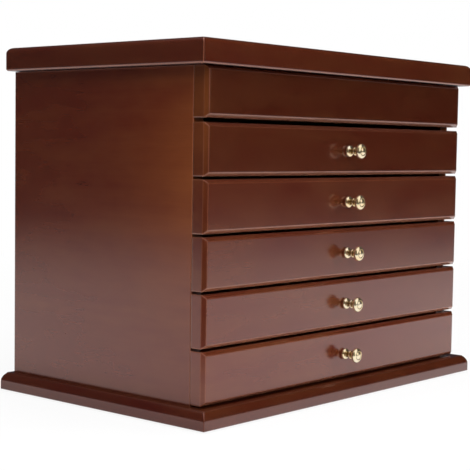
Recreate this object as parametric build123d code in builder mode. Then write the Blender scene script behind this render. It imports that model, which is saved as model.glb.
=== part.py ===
"""A wooden jewelry chest: a lift-top tray over five drawers, built piece by piece.

Millimetres. +X is to the right for someone facing the drawers, +Y is to the back, +Z is up.
The origin is the middle of the felt sheet that the chest stands on.
"""
from build123d import *
import os

# Case
case_width = 320.0
case_depth = 186.0
side_thickness = 10.0
back_thickness = 10.0
back_rabbet = 5.0

# Base board and the felt under it
base_thickness = 12.8
base_side_overhang = 9.0
base_front_overhang = 9.6
base_back_overhang = 5.5
base_edge_height = 5.6
ovolo_depth = 3.4
ovolo_fillet = 0.4
felt_thickness = 1.2
felt_inset = 5.0

# Lid
lid_thickness = 17.5
lid_side_overhang = 9.0
lid_front_overhang = 4.8
lid_top_round = 4.5
lid_bottom_round = 1.5
lid_gap = 0.3

# Mirror under the lid
mirror_thickness = 2.5
mirror_frame_width = 15.0
mirror_frame_height = 5.5
mirror_frame_bevel = 2.0
mirror_rabbet = 4.0
mirror_frame_clearance = 3.0
mitre_gap = 0.1

# Fronts: five drawer fronts and the fixed front of the tray
drawer_count = 5
front_thickness = 12.0
front_chamfer = 2.5
front_rest_gap = 0.3
bottom_gap = 1.1
front_gap = 2.0
top_gap = 3.0
lowest_division = 39.2
level_pitch = 38.85
top_front_height = 35.0

# Drawer boxes
drawer_back_gap = 8.3
drawer_lift = 2.8
drawer_drop = 3.05
drawer_wall = 8.0
drawer_side_gap = 0.4
drawer_bottom_thickness = 3.0
drawer_bottom_lift = 3.0
panel_tongue = 3.0
side_tongue = 4.0
lining_wall = 1.5
lining_pad = 2.5
lining_drop = 1.0

# Runners: strips on the case sides that ride in grooves of the drawer sides
runner_height = 5.6
runner_proud = 3.6
runner_seat = 1.5
runner_setback = 4.0
runner_end_gap = 5.7
runner_lead = 1.5
runner_lift = 12.0
runner_play = 0.3

# Tray under the lid
tray_floor_thickness = 5.0
tray_floor_lift = 2.6
tray_tongue = 4.0
tray_lining_wall = 2.0
tray_lining_pad = 2.5
tray_lining_drop = 0.5
roll_count = 6
roll_width = 14.0
roll_height = 15.0
roll_gap = 0.4
divider_thickness = 4.0
divider_height = 16.0
divider_columns = 3
lap_clearance = 0.1
soft_clearance = 0.3

# Knobs, turned in one piece
knob_foot_radius = 4.3
knob_foot_height = 2.4
knob_waist_radius = 2.6
knob_waist_height = 3.0
knob_ring_radius = 3.5
knob_ring_height = 1.8
knob_neck_radius = 2.3
knob_neck_height = 2.0
knob_head_radius = 5.6
knob_bell_height = 2.8
knob_face_radius = 4.3
knob_rim_height = 2.0
knob_button_radius = 2.7
knob_button_rise = 1.0

# Stop hinges
hinge_inset = 62.0
hinge_length = 30.0
hinge_leaf_depth = 8.5
hinge_leaf_thickness = 1.2
knuckle_radius = 2.2
knuckle_gap = 0.2
centre_knuckle_length = 14.0
pin_radius = 1.1
pin_play = 0.05
barrel_clearance = 0.3
stop_tail_reach = 6.0
stop_plate_height = 9.0

# Heights and depths that follow from the sizes above
base_width = case_width + 2 * base_side_overhang
base_depth = base_front_overhang + front_thickness + case_depth + base_back_overhang
base_floor = felt_thickness
case_floor = base_floor + base_thickness
top_front_floor = case_floor + lowest_division + (drawer_count - 1) * level_pitch + top_gap / 2
case_top = top_front_floor + top_front_height
case_height = case_top - case_floor
lid_floor = case_top + lid_gap
case_front = -base_depth / 2 + base_front_overhang + front_thickness
case_back = case_front + case_depth
inner_width = case_width - 2 * side_thickness
inner_back = case_back - back_thickness
front_face = case_front - front_thickness
front_rear = case_front - front_rest_gap

tray_floor_bottom = top_front_floor + tray_floor_lift
tray_floor_top = tray_floor_bottom + tray_floor_thickness
tray_pad_top = tray_floor_top + tray_lining_pad

box_width = inner_width - 2 * drawer_side_gap
box_inner_width = box_width - 2 * drawer_wall
box_back = inner_back - drawer_back_gap
box_inner_back = box_back - drawer_wall
box_depth = box_back - front_rear
box_height = level_pitch - front_gap - drawer_lift - drawer_drop
groove_height = runner_height + 2 * runner_play
groove_depth = runner_proud + runner_play
runner_start = case_front + runner_setback
runner_finish = box_back - runner_end_gap

hinge_offset = case_width / 2 - hinge_inset
hinge_axis_y = case_back + barrel_clearance + knuckle_radius
hinge_axis_z = case_top + lid_gap / 2
outer_knuckle_length = (hinge_length - centre_knuckle_length) / 2 - knuckle_gap


def keep(piece, name):
    """Label a finished piece and write it as a file of its own."""
    piece.part.label = name
    export_step(piece.part, f"parts/{name}.step")


def drawer_levels():
    """Bottom and top of each drawer front, from the lowest drawer up."""
    levels = []
    for level in range(drawer_count):
        division = case_floor + lowest_division + level * level_pitch
        top = division - (top_gap if level == drawer_count - 1 else front_gap) / 2
        below = division - level_pitch + front_gap / 2
        levels.append((case_floor + bottom_gap if level == 0 else below, top))
    return levels


def runner_heights():
    """Middle height of the runners of each drawer, from the lowest up."""
    return [bottom + drawer_lift + runner_lift + groove_height / 2 for bottom, top in drawer_levels()]


def board(width, depth, height):
    """A board that stands on the local origin, with its front edge on the local X axis."""
    Box(width, depth, height, align=(Align.CENTER, Align.MIN, Align.MIN))


def cut_board(width, depth, height):
    """The same block, taken away."""
    Box(width, depth, height, align=(Align.CENTER, Align.MIN, Align.MIN), mode=Mode.SUBTRACT)


def moulding_section(width):
    """Section across the base board: a plain edge, an ovolo over it and a small step on top."""
    half = width / 2
    shoulder = base_thickness - ovolo_fillet
    with BuildSketch() as section:
        with BuildLine():
            Polyline((0, 0), (half, 0), (half, base_edge_height))
            TangentArc((half, base_edge_height), (half - ovolo_depth, shoulder), tangent=(0, 1))
            Polyline((half - ovolo_depth, shoulder), (half - ovolo_depth, base_thickness),
                     (0, base_thickness), (0, 0))
        make_face()
        mirror(about=Plane.YZ)
    return section.sketch


def lid_section(width):
    """Section across the lid: a large round on the top edges and a small one below."""
    with BuildSketch() as section:
        Rectangle(width, lid_thickness, align=(Align.CENTER, Align.MIN))
        corners = section.vertices().group_by(Axis.Y)
        fillet(corners[-1], lid_top_round)
        fillet(section.vertices().group_by(Axis.Y)[0], lid_bottom_round)
    return section.sketch


def make_base():
    """The base board, moulded on all four edges, and the felt sheet glued under it."""
    with BuildPart() as base_board:
        with BuildSketch(Plane.YZ.offset(-base_width / 2)):
            with Locations((0, base_floor)):
                add(moulding_section(base_depth))
        extrude(amount=base_width)
        with BuildSketch(Plane.XZ.offset(-base_depth / 2)):
            with Locations((0, base_floor)):
                add(moulding_section(base_width))
        extrude(amount=base_depth, mode=Mode.INTERSECT)
    keep(base_board, "base_board")

    with BuildPart() as base_felt:
        with BuildSketch():
            Rectangle(base_width - 2 * felt_inset, base_depth - 2 * felt_inset)
        extrude(amount=felt_thickness)
    keep(base_felt, "base_felt")


def make_side_panel(side, name):
    """A plain side of the case, with a rabbet for the back and dadoes for tray floor and runners."""
    inner_face = side * inner_width / 2
    with BuildPart() as panel:
        with BuildSketch(Plane.XY.offset(case_floor)):
            with Locations((side * (case_width - side_thickness) / 2, (case_front + case_back) / 2)):
                Rectangle(side_thickness, case_depth)
            with Locations((inner_face + side * back_rabbet / 2, case_back - back_thickness / 2)):
                Rectangle(back_rabbet, back_thickness, mode=Mode.SUBTRACT)
        extrude(amount=case_height)
        with BuildSketch(Plane.YZ.offset(inner_face)):
            with Locations(((case_front + inner_back) / 2, (tray_floor_bottom + tray_floor_top) / 2)):
                Rectangle(inner_back - case_front, tray_floor_thickness)
        extrude(amount=side * tray_tongue, mode=Mode.SUBTRACT)
        runner_middle = (runner_start + runner_finish) / 2
        with BuildSketch(Plane.YZ.offset(inner_face)):
            with Locations(*[(runner_middle, height) for height in runner_heights()]):
                Rectangle(runner_finish - runner_start, runner_height)
        extrude(amount=side * runner_seat, mode=Mode.SUBTRACT)
    keep(panel, name)


def make_back_panel():
    """The back of the case, with a groove for the tray floor and seats for the hinge leaves."""
    with BuildPart() as back_panel:
        with Locations((0, inner_back, case_floor)):
            board(inner_width + 2 * back_rabbet, back_thickness, case_height)
        with Locations((0, inner_back, tray_floor_bottom)):
            cut_board(inner_width, tray_tongue, tray_floor_thickness)
        with Locations(*[(x, case_back - hinge_leaf_depth, case_top - hinge_leaf_thickness)
                         for x in (-hinge_offset, hinge_offset)]):
            cut_board(hinge_length, hinge_leaf_depth, hinge_leaf_thickness)
    keep(back_panel, "back_panel")


def make_top_front():
    """The fixed front that hides the tray: chamfered like a drawer front, but with no knob."""
    with BuildPart() as top_front:
        with Locations((0, front_face, top_front_floor)):
            board(case_width, front_thickness, top_front_height)
        chamfer(top_front.faces().sort_by(Axis.Y)[0].edges(), front_chamfer)
        with Locations((0, case_front - tray_tongue, tray_floor_bottom)):
            cut_board(inner_width, tray_tongue, tray_floor_thickness)
    keep(top_front, "top_front")


def make_tray():
    """The floor, lining, ring rolls and dividers of the tray under the lid."""
    with BuildPart() as tray_floor:
        with Locations((0, case_front, tray_floor_bottom)):
            board(inner_width + 2 * tray_tongue, inner_back - case_front, tray_floor_thickness)
        with Locations((0, case_front - tray_tongue, tray_floor_bottom)):
            board(inner_width, inner_back - case_front + 2 * tray_tongue, tray_floor_thickness)
    keep(tray_floor, "tray_floor")

    lining_depth = inner_back - case_front
    lining_height = case_top - tray_lining_drop - tray_floor_top
    with BuildPart() as tray_lining:
        with Locations((0, case_front, tray_floor_top)):
            board(inner_width, lining_depth, lining_height)
        offset(amount=-tray_lining_wall, openings=tray_lining.faces().sort_by(Axis.Z)[-1])
        with Locations((0, case_front + tray_lining_wall, tray_floor_top + tray_lining_wall)):
            board(inner_width - 2 * tray_lining_wall, lining_depth - 2 * tray_lining_wall,
                  tray_lining_pad - tray_lining_wall)
    keep(tray_lining, "tray_lining")


def tray_bounds():
    """The clear space inside the tray lining: left, right, front and back."""
    half = inner_width / 2 - tray_lining_wall - soft_clearance
    front = case_front + tray_lining_wall + soft_clearance
    back = inner_back - tray_lining_wall - soft_clearance
    return -half, half, front, back


def make_ring_rolls():
    """Padded rolls side by side at the left of the tray, with slots between them for rings."""
    left, right, front, back = tray_bounds()
    with BuildPart() as ring_rolls:
        for number in range(roll_count):
            middle = left + roll_width / 2 + number * (roll_width + roll_gap)
            with BuildSketch(Plane.XZ.offset(-front)):
                with Locations((middle, tray_pad_top)):
                    Rectangle(roll_width, roll_height - roll_width / 2, align=(Align.CENTER, Align.MIN))
                with Locations((middle, tray_pad_top + roll_height - roll_width / 2)):
                    Circle(roll_width / 2)
            extrude(amount=-(back - front))
    keep(ring_rolls, "ring_rolls")
    return left + roll_count * (roll_width + roll_gap) - roll_gap


def make_dividers(rolls_right):
    """A partition beside the ring rolls, then a long divider with cross dividers halved into it."""
    left, right, front, back = tray_bounds()
    partition = rolls_right + soft_clearance
    start = partition + divider_thickness + lap_clearance
    middle = (front + back) / 2
    column = (right - start) / divider_columns
    crossings = [start + column * number for number in range(1, divider_columns)]
    half_height = divider_height / 2
    notch = divider_thickness + 2 * lap_clearance
    with BuildPart() as tray_dividers:
        with BuildSketch(Plane.XZ.offset(-middle)):
            with Locations(((start + right) / 2, tray_pad_top)):
                Rectangle(right - start, divider_height, align=(Align.CENTER, Align.MIN))
            with Locations(*[(x, tray_pad_top + half_height) for x in crossings]):
                Rectangle(notch, half_height, align=(Align.CENTER, Align.MIN), mode=Mode.SUBTRACT)
        extrude(amount=divider_thickness / 2, both=True)
        with BuildSketch(Plane.YZ.offset(partition)):
            with Locations((middle, tray_pad_top)):
                Rectangle(back - front, divider_height, align=(Align.CENTER, Align.MIN))
        extrude(amount=divider_thickness)
        for x in crossings:
            with BuildSketch(Plane.YZ.offset(x - divider_thickness / 2)):
                with Locations((middle, tray_pad_top)):
                    Rectangle(back - front, divider_height, align=(Align.CENTER, Align.MIN))
                    Rectangle(notch, half_height + lap_clearance, align=(Align.CENTER, Align.MIN),
                              mode=Mode.SUBTRACT)
            extrude(amount=divider_thickness)
    keep(tray_dividers, "tray_dividers")


def make_runners():
    """Wooden strips let into the case sides, with a tapered lead at their front ends."""
    with BuildPart() as drawer_runners:
        for side in (-1, 1):
            seat = side * (inner_width / 2 + runner_seat)
            face = side * (inner_width / 2 - runner_proud)
            for height in runner_heights():
                with BuildSketch(Plane.XY.offset(height - runner_height / 2)):
                    with BuildLine():
                        Polyline((seat, runner_start), (face + side * runner_lead, runner_start),
                                 (face, runner_start + runner_lead), (face, runner_finish),
                                 (seat, runner_finish), close=True)
                    make_face()
                extrude(amount=runner_height)
    keep(drawer_runners, "drawer_runners")


def make_drawer(number, bottom, top):
    """One drawer: chamfered front, two grooved sides, back, bottom, lining and knob."""
    name = f"drawer_{number}"
    box_floor = bottom + drawer_lift
    panel_floor = box_floor + drawer_bottom_lift
    panel_top = panel_floor + drawer_bottom_thickness

    with BuildPart() as front:
        with Locations((0, front_face, bottom)):
            board(case_width, front_rear - front_face, top - bottom)
        chamfer(front.faces().sort_by(Axis.Y)[0].edges(), front_chamfer)
        with Locations(*[(side * (box_width - drawer_wall) / 2, front_rear - side_tongue, box_floor)
                         for side in (-1, 1)]):
            cut_board(drawer_wall, side_tongue, box_height)
        with Locations((0, front_rear - panel_tongue, panel_floor)):
            cut_board(box_inner_width, panel_tongue, drawer_bottom_thickness)
    keep(front, f"{name}_front")

    for side, side_name in ((-1, "left"), (1, "right")):
        outer = side * box_width / 2
        inner = side * box_inner_width / 2
        with BuildPart() as drawer_side:
            with Locations((side * (box_width - drawer_wall) / 2, front_rear - side_tongue, box_floor)):
                board(drawer_wall, box_depth + side_tongue, box_height)
            with BuildSketch(Plane.XZ.offset(-box_back)):
                with Locations((outer - side * groove_depth / 2, box_floor + runner_lift + groove_height / 2)):
                    Rectangle(groove_depth, groove_height)
                with Locations((inner + side * panel_tongue / 2, (panel_floor + panel_top) / 2)):
                    Rectangle(panel_tongue, drawer_bottom_thickness)
            extrude(amount=box_depth + side_tongue, mode=Mode.SUBTRACT)
            with Locations((inner + side * panel_tongue / 2, box_inner_back, panel_top)):
                cut_board(panel_tongue, drawer_wall, box_height)
        keep(drawer_side, f"{name}_{side_name}_side")

    with BuildPart() as back:
        with Locations((0, box_inner_back, panel_top)):
            board(box_inner_width + 2 * panel_tongue, drawer_wall, box_floor + box_height - panel_top)
    keep(back, f"{name}_back")

    with BuildPart() as bottom_panel:
        with Locations((0, front_rear, panel_floor)):
            board(box_inner_width + 2 * panel_tongue, box_depth, drawer_bottom_thickness)
        with Locations((0, front_rear - panel_tongue, panel_floor)):
            board(box_inner_width, panel_tongue, drawer_bottom_thickness)
    keep(bottom_panel, f"{name}_bottom")

    lining_height = box_floor + box_height - lining_drop - panel_top
    with BuildPart() as lining:
        with Locations((0, front_rear, panel_top)):
            board(box_inner_width, box_depth - drawer_wall, lining_height)
        with Locations((0, front_rear + lining_wall, panel_top + lining_pad)):
            cut_board(box_inner_width - 2 * lining_wall, box_depth - drawer_wall - 2 * lining_wall,
                      lining_height)
    keep(lining, f"{name}_lining")

    make_knob(name, (bottom + top) / 2)


def make_knob(name, height):
    """A turned knob: foot, waist, ring, neck and a bell-shaped head with a button on its face."""
    foot = -knob_foot_height
    waist = foot - knob_waist_height
    ring = waist - knob_ring_height
    neck = ring - knob_neck_height
    rim = neck - knob_bell_height
    face = rim - knob_rim_height
    tip = face - knob_button_rise
    with BuildPart() as knob:
        with BuildSketch(Plane((0, front_face, height), x_dir=(1, 0, 0), z_dir=(0, 0, 1))):
            with BuildLine():
                Polyline((0, 0), (knob_foot_radius, 0), (knob_foot_radius, foot),
                         (knob_waist_radius, foot), (knob_waist_radius, waist),
                         (knob_ring_radius, waist), (knob_ring_radius, ring),
                         (knob_neck_radius, ring), (knob_neck_radius, neck),
                         (knob_head_radius, rim), (knob_face_radius, face),
                         (knob_button_radius, face), (knob_button_radius, tip), (0, tip), close=True)
            make_face()
        revolve(axis=Axis((0, front_face, height), (0, 1, 0)))
    keep(knob, f"{name}_knob")


def make_lid():
    """The lid board, its mitred mirror frame and the mirror."""
    lid_width = case_width + 2 * lid_side_overhang
    lid_front = front_face - lid_front_overhang
    lid_depth = case_back - lid_front
    with BuildPart() as lid_panel:
        with BuildSketch(Plane.YZ.offset(-lid_width / 2)):
            with Locations(((lid_front + case_back) / 2, lid_floor)):
                add(lid_section(lid_depth))
        extrude(amount=lid_width)
        with BuildSketch(Plane.XZ.offset(-case_back)):
            with Locations((0, lid_floor)):
                add(lid_section(lid_width))
        extrude(amount=lid_depth, mode=Mode.INTERSECT)
        with Locations(*[(x, case_back - hinge_leaf_depth, lid_floor) for x in (-hinge_offset, hinge_offset)]):
            cut_board(hinge_length, hinge_leaf_depth, hinge_leaf_thickness)
    keep(lid_panel, "lid_panel")

    left, right, front, back = tray_bounds()
    frame_width = right - left - 2 * mirror_frame_clearance
    frame_depth = back - front - 2 * mirror_frame_clearance
    middle = (front + back) / 2
    glass_width = frame_width - 2 * (mirror_frame_width - mirror_rabbet)
    glass_depth = frame_depth - 2 * (mirror_frame_width - mirror_rabbet)
    frame_floor = lid_floor - mirror_frame_height
    with BuildPart() as mirror_frame:
        with Locations((0, middle, frame_floor)):
            Box(frame_width, frame_depth, mirror_frame_height, align=(Align.CENTER, Align.CENTER, Align.MIN))
            Box(frame_width - 2 * mirror_frame_width, frame_depth - 2 * mirror_frame_width,
                mirror_frame_height, align=(Align.CENTER, Align.CENTER, Align.MIN), mode=Mode.SUBTRACT)
        chamfer(mirror_frame.faces().sort_by(Axis.Z)[0].edges(), mirror_frame_bevel)
        with Locations((0, middle, lid_floor)):
            Box(glass_width, glass_depth, mirror_thickness,
                align=(Align.CENTER, Align.CENTER, Align.MAX), mode=Mode.SUBTRACT)
        corners = [(x * frame_width / 2, middle + y * frame_depth / 2) for x in (-1, 1) for y in (-1, 1)]
        for x, y in corners:
            turn = 45 if x * (y - middle) > 0 else -45
            with Locations(Location((x, y, frame_floor), (0, 0, turn))):
                Box(4 * mirror_frame_width, mitre_gap, mirror_frame_height,
                    align=(Align.CENTER, Align.CENTER, Align.MIN), mode=Mode.SUBTRACT)
    keep(mirror_frame, "mirror_frame")

    with BuildPart() as lid_mirror:
        with Locations((0, middle, lid_floor)):
            Box(glass_width, glass_depth, mirror_thickness, align=(Align.CENTER, Align.CENTER, Align.MAX))
    keep(lid_mirror, "lid_mirror")


def make_hinges():
    """Two stop hinges: leaves let into case and lid, pins, and tails that meet when the lid is open."""
    places = (-hinge_offset, hinge_offset)
    outer_middle = (hinge_length - outer_knuckle_length) / 2
    window = centre_knuckle_length + 2 * knuckle_gap
    axis_plane = Plane((0, hinge_axis_y, hinge_axis_z), x_dir=(0, 1, 0), z_dir=(1, 0, 0))

    with BuildPart() as case_leaves:
        for place in places:
            with Locations((place, case_back - hinge_leaf_depth, case_top - hinge_leaf_thickness)):
                board(hinge_length, hinge_axis_y - case_back + hinge_leaf_depth, hinge_leaf_thickness)
            with Locations((place, case_back, case_top - stop_plate_height)):
                board(hinge_length, hinge_leaf_thickness, stop_plate_height)
            with Locations((place, case_back, case_top - knuckle_radius - 2 * barrel_clearance)):
                cut_board(window, 2 * knuckle_radius, 2 * knuckle_radius)
            for shift in (-outer_middle, outer_middle):
                with Locations(axis_plane.offset(place + shift)):
                    Cylinder(knuckle_radius, outer_knuckle_length)
            with Locations(axis_plane.offset(place)):
                Cylinder(pin_radius, hinge_length, mode=Mode.SUBTRACT)
    keep(case_leaves, "hinge_case_leaves")

    with BuildPart() as lid_leaves:
        for place in places:
            with Locations((place, case_back - hinge_leaf_depth, lid_floor)):
                board(hinge_length, hinge_leaf_depth, hinge_leaf_thickness)
            with Locations((place, case_back, lid_floor)):
                board(centre_knuckle_length, hinge_axis_y - case_back, hinge_leaf_thickness)
            with Locations((place, hinge_axis_y, hinge_axis_z)):
                board(centre_knuckle_length, stop_tail_reach, hinge_leaf_thickness)
            with Locations(axis_plane.offset(place)):
                Cylinder(knuckle_radius, centre_knuckle_length)
                Cylinder(pin_radius + pin_play, centre_knuckle_length, mode=Mode.SUBTRACT)
    keep(lid_leaves, "hinge_lid_leaves")

    with BuildPart() as hinge_pins:
        for place in places:
            with Locations(axis_plane.offset(place)):
                Cylinder(pin_radius, hinge_length)
    keep(hinge_pins, "hinge_pins")


os.makedirs("parts", exist_ok=True)
make_base()
make_side_panel(-1, "left_side_panel")
make_side_panel(1, "right_side_panel")
make_back_panel()
make_top_front()
make_tray()
make_dividers(make_ring_rolls())
make_runners()
for level, (bottom, top) in enumerate(drawer_levels()):
    make_drawer(drawer_count - level, bottom, top)
make_lid()
make_hinges()
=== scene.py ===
# %% [markdown]
# # A lacquered mahogany jewelry chest
# The chest has a hinged lid with a mirror, a lined tray under it and five drawers with turned brass
# knobs. Its solids come from a CAD model, and this lesson dresses them: each board keeps its CAD shape
# and gets a finish, and everything soft or turned is modelled here again in more detail. The packed
# model is loaded first, because every later piece takes its place from it.

# %% Load the chest's solids
import math

import bmesh
import bpy
import numpy as np
from mathutils import Matrix, Vector


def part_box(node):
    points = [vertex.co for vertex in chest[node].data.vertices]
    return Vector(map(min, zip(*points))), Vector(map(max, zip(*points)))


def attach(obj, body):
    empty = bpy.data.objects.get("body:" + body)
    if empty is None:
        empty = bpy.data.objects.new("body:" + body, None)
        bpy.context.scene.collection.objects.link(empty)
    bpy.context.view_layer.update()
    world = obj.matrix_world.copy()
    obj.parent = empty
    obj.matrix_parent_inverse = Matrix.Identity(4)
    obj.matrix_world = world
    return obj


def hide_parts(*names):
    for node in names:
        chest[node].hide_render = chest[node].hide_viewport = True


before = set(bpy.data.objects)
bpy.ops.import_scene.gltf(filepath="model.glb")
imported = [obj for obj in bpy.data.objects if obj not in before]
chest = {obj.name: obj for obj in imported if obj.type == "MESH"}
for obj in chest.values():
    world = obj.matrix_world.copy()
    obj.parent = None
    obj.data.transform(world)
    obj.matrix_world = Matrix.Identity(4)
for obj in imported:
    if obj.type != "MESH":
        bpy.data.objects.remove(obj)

scene = bpy.context.scene
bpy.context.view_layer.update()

# %% [markdown]
# ## Sheets of points
# Nearly every shape here is a sheet: a grid of points worked out from two parameters, one along the
# rows and one along the columns. A tube, a ring or a turned knob is a sheet whose last column meets its
# first. Writing the faces once for every sheet keeps each later cell to its own formula.

# %% Turn a grid of points into a piece
MM = 0.001


def sheet_faces(rows, columns, closed=False):
    """Four-sided faces of a grid: point (i, j) joins (i, j+1), (i+1, j+1) and (i+1, j).
    With closed, the last column also joins the first."""
    last_column = columns if closed else columns - 1
    i, j = np.meshgrid(np.arange(rows - 1), np.arange(last_column), indexing="ij")
    right = (j + 1) % columns
    corners = [i * columns + j, i * columns + right, (i + 1) * columns + right, (i + 1) * columns + j]
    return np.stack(corners, axis=-1).reshape(-1, 4)


def shade(piece, smooth):
    """Shades all faces of a piece smooth or flat."""
    faces = piece.data.polygons
    faces.foreach_set("use_smooth", np.full(len(faces), smooth))


def make_piece(name, points, faces, material, body=None, stands_for=()):
    """A mesh from points in millimetres and faces. It rides on a body of the chest and stands for the
    solids that are named."""
    places = np.asarray(points, float).reshape(-1, 3) * MM
    mesh = bpy.data.meshes.new(name)
    mesh.from_pydata(places.tolist(), [], faces.tolist())
    mesh.materials.append(material)
    mesh.update()
    piece = bpy.data.objects.new(name, mesh)
    shade(piece, True)
    scene.collection.objects.link(piece)
    if body:
        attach(piece, body)
    if stands_for:
        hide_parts(*stands_for)
    return piece


print("a sheet of 3 by 4 points has", len(sheet_faces(3, 4)), "faces")

# %% Close a shape
SAME_POINT = 0.001 * MM
SEAM_WIDTH = 0.01 * MM


def close_ends(piece):
    """Fills the open ends of a tube with faces."""
    shell = bmesh.new()
    shell.from_mesh(piece.data)
    bmesh.ops.remove_doubles(shell, verts=shell.verts, dist=SAME_POINT)
    bmesh.ops.holes_fill(shell, edges=shell.edges, sides=0)
    shell.to_mesh(piece.data)
    shell.free()
    shade(piece, True)


def turn_outwards(piece):
    """Welds the seams of a closed shape and makes all its faces look outwards."""
    shell = bmesh.new()
    shell.from_mesh(piece.data)
    bmesh.ops.remove_doubles(shell, verts=shell.verts, dist=SEAM_WIDTH)
    bmesh.ops.recalc_face_normals(shell, faces=shell.faces)
    shell.to_mesh(piece.data)
    shell.free()


def place_of(node):
    """Lowest and highest corner of a solid, in millimetres."""
    low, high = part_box(node)
    return np.array(low) / MM, np.array(high) / MM


print("points closer than", SEAM_WIDTH / MM, "mm are welded")

# %% [markdown]
# ## The camera
# The photograph was taken from the front left, a little under the level of the lid, from about a metre
# away with a short telephoto lens. A camera's own axes are columns of its matrix: right, up and
# backwards. They are built from how far the view is turned, tipped and rolled.

# %% Set up the camera
EYE = Vector((-0.7846, -0.6659, 0.1911))
TURN, TIP, ROLL = (math.radians(angle) for angle in (49.03, 3.995, 0.90))
SENSOR_WIDTH, FOCAL_LENGTH = 36, 97.11

ahead = Vector((math.sin(TURN) * math.cos(TIP), math.cos(TURN) * math.cos(TIP), -math.sin(TIP)))
level_right = Vector((math.cos(TURN), -math.sin(TURN), 0))
level_up = level_right.cross(ahead)
right = math.cos(ROLL) * level_right + math.sin(ROLL) * level_up
up = math.cos(ROLL) * level_up - math.sin(ROLL) * level_right

camera_data = bpy.data.cameras.new("camera")
camera_data.sensor_width = SENSOR_WIDTH
camera_data.lens = FOCAL_LENGTH
camera_data.dof.use_dof = False
camera = bpy.data.objects.new("camera", camera_data)
camera.matrix_world = Matrix((right, up, -ahead)).transposed().to_4x4()
camera.location = EYE
scene.collection.objects.link(camera)
scene.camera = camera
print("camera", round(EYE.length, 2), "m from the chest's foot, lens", FOCAL_LENGTH, "mm")

# %% [markdown]
# ## Node helpers
# A material is a small network of nodes. One helper adds a node with its options and inputs in a single
# call, so that a finish reads from top to bottom like a recipe. The others name the few operations that
# come back in every finish.

# %% Add and start nodes
def add(tree, kind, inputs=None, **options):
    """Adds a node. Options are its settings; inputs go by socket name or number, and each is a value or
    the output of another node."""
    node = tree.nodes.new(kind)
    for option, value in options.items():
        setattr(node, option, value)
    for socket, value in (inputs or {}).items():
        if isinstance(value, bpy.types.NodeSocket):
            tree.links.new(value, node.inputs[socket])
        else:
            node.inputs[socket].default_value = value
    return node


def start_material(name, **shader_inputs):
    """A new material, its nodes and its Principled shader, with the finish's plain values set on the
    shader itself."""
    material = bpy.data.materials.new(name)
    material.use_nodes = True
    tree = material.node_tree
    shader = tree.nodes["Principled BSDF"]
    for socket, value in shader_inputs.items():
        shader.inputs[socket.replace("_", " ")].default_value = value
    return material, tree, shader


def wear_finish(material, *nodes):
    """Gives a finish to CAD solids."""
    for node in nodes:
        for slot in chest[node].material_slots:
            slot.material = material


print("a finish can now be started and worn")

# %% Name the operations
def math_node(tree, operation, *values, clamp=False):
    """One sum, product or other operation on numbers; gives its output."""
    node = add(tree, "ShaderNodeMath", dict(enumerate(values)), operation=operation, use_clamp=clamp)
    return node.outputs[0]


def vector_node(tree, operation, *values):
    """One operation on places or directions; gives its output, a number for a length or a dot product."""
    node = add(tree, "ShaderNodeVectorMath", dict(enumerate(values)), operation=operation)
    return node.outputs["Value" if operation in ("LENGTH", "DOT_PRODUCT") else "Vector"]


def part_of(tree, vector, axis):
    """The X, Y or Z part of a place or direction."""
    return add(tree, "ShaderNodeSeparateXYZ", {0: vector}).outputs[axis]


def spread(tree, value, low, high, to_low=0.0, to_high=1.0):
    """Stretches a value that runs from low to high over another range, and holds it there."""
    inputs = {"Value": value, "From Min": low, "From Max": high, "To Min": to_low, "To Max": to_high}
    return add(tree, "ShaderNodeMapRange", inputs, clamp=True).outputs["Result"]


print("sums and ranges named")

# %% Name the patterns and mixtures
def noise(tree, where, scale, detail=2.0, roughness=0.5, distortion=0.0):
    """Soft random cloud: one patch measures about one over its scale, in metres."""
    inputs = {"Vector": where, "Scale": scale, "Detail": detail, "Roughness": roughness,
              "Distortion": distortion}
    return add(tree, "ShaderNodeTexNoise", inputs).outputs["Fac"]


def stretched(tree, where, scale, shift=(0, 0, 0)):
    """The same place with its axes scaled, so that a cloud drawn on it becomes streaks."""
    inputs = {"Vector": where, "Scale": scale, "Location": shift}
    return add(tree, "ShaderNodeMapping", inputs).outputs["Vector"]


def blend_colours(tree, share, first, second):
    """Mixes two colours by a share from 0 to 1; gives the colour."""
    inputs = {"Factor": share, "A": first, "B": second}
    return add(tree, "ShaderNodeMix", inputs, data_type="RGBA").outputs["Result"]


def blend_shaders(tree, share, first, second):
    """Mixes the surfaces of two nodes by a share from 0 to 1; gives the node that mixes them."""
    return add(tree, "ShaderNodeMixShader", {0: share, 1: first.outputs[0], 2: second.outputs[0]})


def bumpy(tree, height, strength, distance, invert=False, onto=None):
    """A surface direction tilted by a pattern of heights, on top of another direction if one is given."""
    inputs = {"Strength": strength, "Distance": distance, "Height": height}
    if onto is not None:
        inputs["Normal"] = onto
    return add(tree, "ShaderNodeBump", inputs, invert=invert).outputs["Normal"]


def own_place(tree):
    """The piece's own coordinates, which stay with it when it moves."""
    return add(tree, "ShaderNodeTexCoord").outputs["Object"]


def in_reflection(tree, path):
    """1 for a ray that left a glossy or clear surface, and 0 for any other."""
    return math_node(tree, "MAXIMUM", path["Is Glossy Ray"], path["Is Transmission Ray"])


print("node helpers ready")

# %% [markdown]
# ## The studio
# The chest stands on a white sheet that is brightest close by, fades with distance and ends in the dark
# at the front left. A white canopy hangs overhead and comes down to the floor in front of the chest, and
# round them the room is dim. Lacquer and brass show all of it: the lower half of each board mirrors the
# sheet, the upper half the dim room, and the knobs the canopy. To the eye of the camera everything
# behind the chest is plain white, which comes from the floor's and the world's own colour and not from
# more light.

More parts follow.
